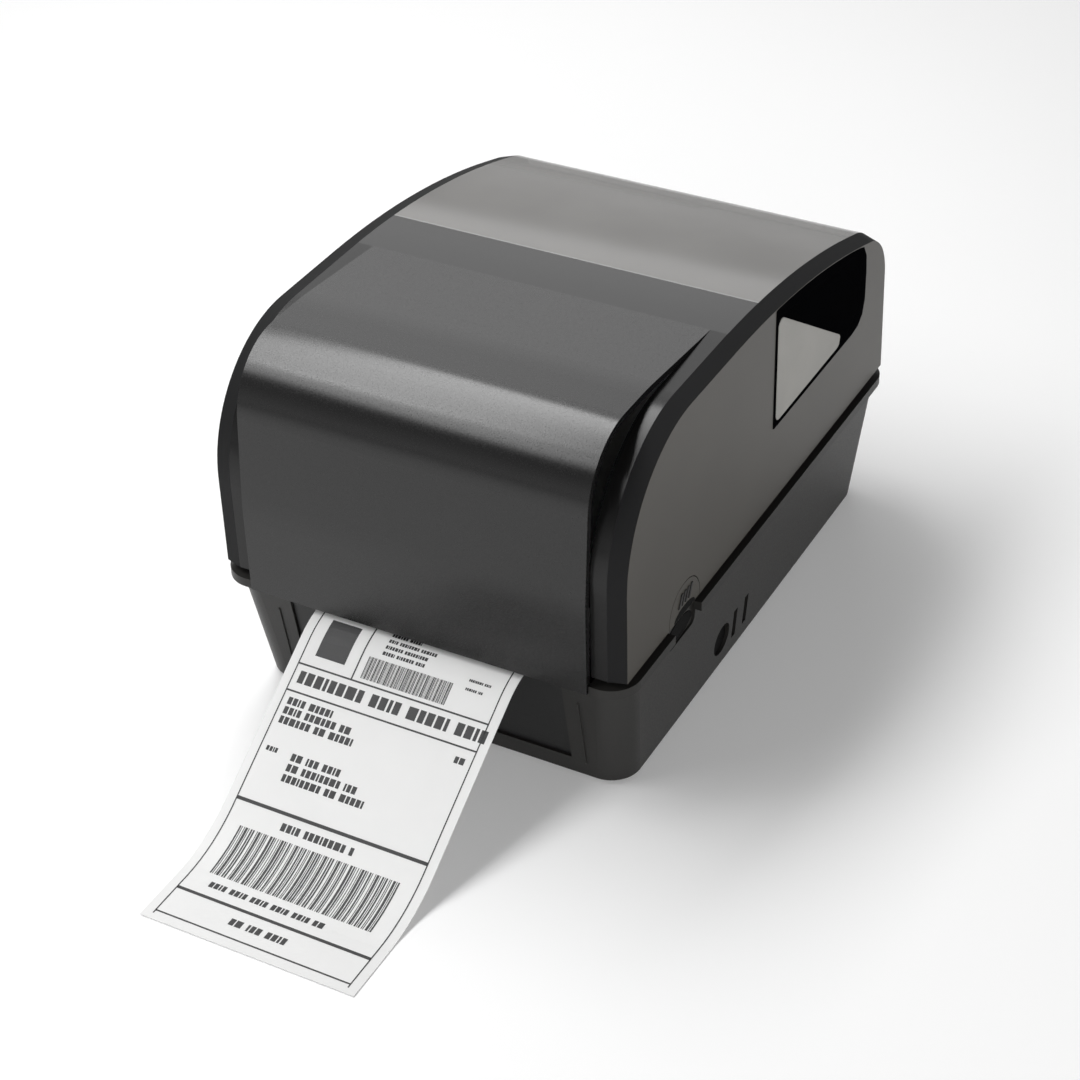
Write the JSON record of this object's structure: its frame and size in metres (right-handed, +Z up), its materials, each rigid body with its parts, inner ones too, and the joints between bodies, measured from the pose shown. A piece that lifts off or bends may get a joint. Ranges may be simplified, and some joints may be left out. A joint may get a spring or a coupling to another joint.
{
  "type": "thermal label printer",
  "caption": "Desktop thermal label printer: hinged cover with a smoked window, release buttons, platen and gear drive, label roll on centring guides, and a printed label at the front.",
  "frame": {"origin": "centre of the base, on the surface that its feet stand on", "axes": "+X to the right of someone facing the front, -Y out of the front where labels leave, +Z up"},
  "size_m": [0.204, 0.435, 0.1815],
  "materials": {
    "shell_plastic": "satin metallic dark grey moulding",
    "panel_plastic": "satin olive grey moulding",
    "base_plastic": "satin near-black moulding",
    "smoked_window": "smoked translucent",
    "dark_pane": "glossy black smoke",
    "inner_plastic": "matt black",
    "steel": "bright zinc",
    "aluminium": "extruded",
    "ceramic_head": "glazed strip",
    "bush_brass": "sintered",
    "roller_rubber": "ground rubber",
    "foot_rubber": "moulded rubber",
    "board_laminate": "green laminate",
    "label_paper": "white coated label paper",
    "core_card": "brown card tube"
  },
  "bodies": {
    "base": {"base_housing": "base_plastic", "front_panel": "base_plastic", "guide_rail": "inner_plastic", "sensor_bar": "inner_plastic", "gap_sensor": "inner_plastic", "switch_frame": "inner_plastic", "power_jack": "inner_plastic", "hinge_brackets": "inner_plastic", "idler_pin": "steel", "hinge_pins": "steel", "floor_screws": "steel", "tear_bar": "steel", "web_guide_rod": "steel", "gear_plate": "steel", "bearing_plate": "steel", "stepper_motor": "steel", "data_port": "steel", "board_standoffs": "steel", "platen_bushes": "bush_brass", "rubber_feet": "foot_rubber", "main_board": "board_laminate", "label_web": "label_paper"},
    "cover": {"front_shell": "shell_plastic", "right_end_panel": "panel_plastic", "left_end_panel": "panel_plastic", "right_side_pane": "dark_pane", "left_side_pane": "dark_pane", "top_window": "smoked_window", "rear_panel": "base_plastic", "cover_rib": "base_plastic", "hinge_knuckles": "inner_plastic", "print_head": "ceramic_head", "heat_sink": "aluminium", "head_bracket": "steel"},
    "right_button": {"right_release_button": "panel_plastic"},
    "left_button": {"left_release_button": "panel_plastic"},
    "platen": {"platen_shaft": "steel", "platen_roller": "roller_rubber", "platen_gear": "inner_plastic"},
    "idler": {"idler_gear": "inner_plastic"},
    "pinion": {"motor_pinion": "inner_plastic", "motor_shaft": "steel"},
    "roll": {"label_roll": "label_paper", "roll_core": "core_card"},
    "right_guide": {"right_media_guide": "inner_plastic", "right_guide_rack": "inner_plastic"},
    "left_guide": {"left_media_guide": "inner_plastic", "left_guide_rack": "inner_plastic"},
    "guide_gear": {"guide_pinion": "inner_plastic"},
    "rocker": {"power_rocker": "inner_plastic"}
  },
  "joints": [
    {"name": "cover_hinge", "type": "hinge", "parent": "base", "child": "cover", "pos_m": [0, 0.145, 0.06775], "axis": [-1, 0, 0], "range_deg": [0, 85]},
    {"name": "right_release", "type": "slide", "parent": "cover", "child": "right_button", "axis": [-1, 0, 0], "range_m": [0, 0.003], "stiffness_N_per_m": 800},
    {"name": "left_release", "type": "slide", "parent": "cover", "child": "left_button", "axis": [1, 0, 0], "range_m": [0, 0.003], "stiffness_N_per_m": 800},
    {"name": "platen_spin", "type": "hinge", "parent": "base", "child": "platen", "pos_m": [0, -0.119, 0.051], "axis": [1, 0, 0], "continuous": true},
    {"name": "idler_spin", "type": "hinge", "parent": "base", "child": "idler", "pos_m": [-0.074, -0.09799, 0.037], "axis": [1, 0, 0], "continuous": true},
    {"name": "pinion_spin", "type": "hinge", "parent": "base", "child": "pinion", "pos_m": [-0.074, -0.07712, 0.033], "axis": [1, 0, 0], "continuous": true},
    {"name": "roll_spin", "type": "hinge", "parent": "base", "child": "roll", "pos_m": [0, 0.038, 0.072], "axis": [1, 0, 0], "continuous": true},
    {"name": "right_guide_slide", "type": "slide", "parent": "base", "child": "right_guide", "axis": [1, 0, 0], "range_m": [0, 0.005]},
    {"name": "left_guide_slide", "type": "slide", "parent": "base", "child": "left_guide", "axis": [-1, 0, 0], "range_m": [0, 0.005]},
    {"name": "guide_pinion_spin", "type": "hinge", "parent": "base", "child": "guide_gear", "pos_m": [0, 0.038, 0.012], "axis": [0, 0, 1], "range_deg": [0, 23.87]},
    {"name": "power_switch", "type": "hinge", "parent": "base", "child": "rocker", "pos_m": [-0.039, 0.1345, 0.0201], "axis": [1, 0, 0], "range_deg": [-8, 8]}
  ],
  "couplings": [
    {"joint": "idler_spin", "follows": "platen_spin", "ratio": -0.66667},
    {"joint": "pinion_spin", "follows": "platen_spin", "ratio": 1.6667},
    {"joint": "left_guide_slide", "follows": "right_guide_slide", "ratio": 1},
    {"joint": "guide_pinion_spin", "follows": "right_guide_slide", "rad_per_m": 83.333}
  ]
}
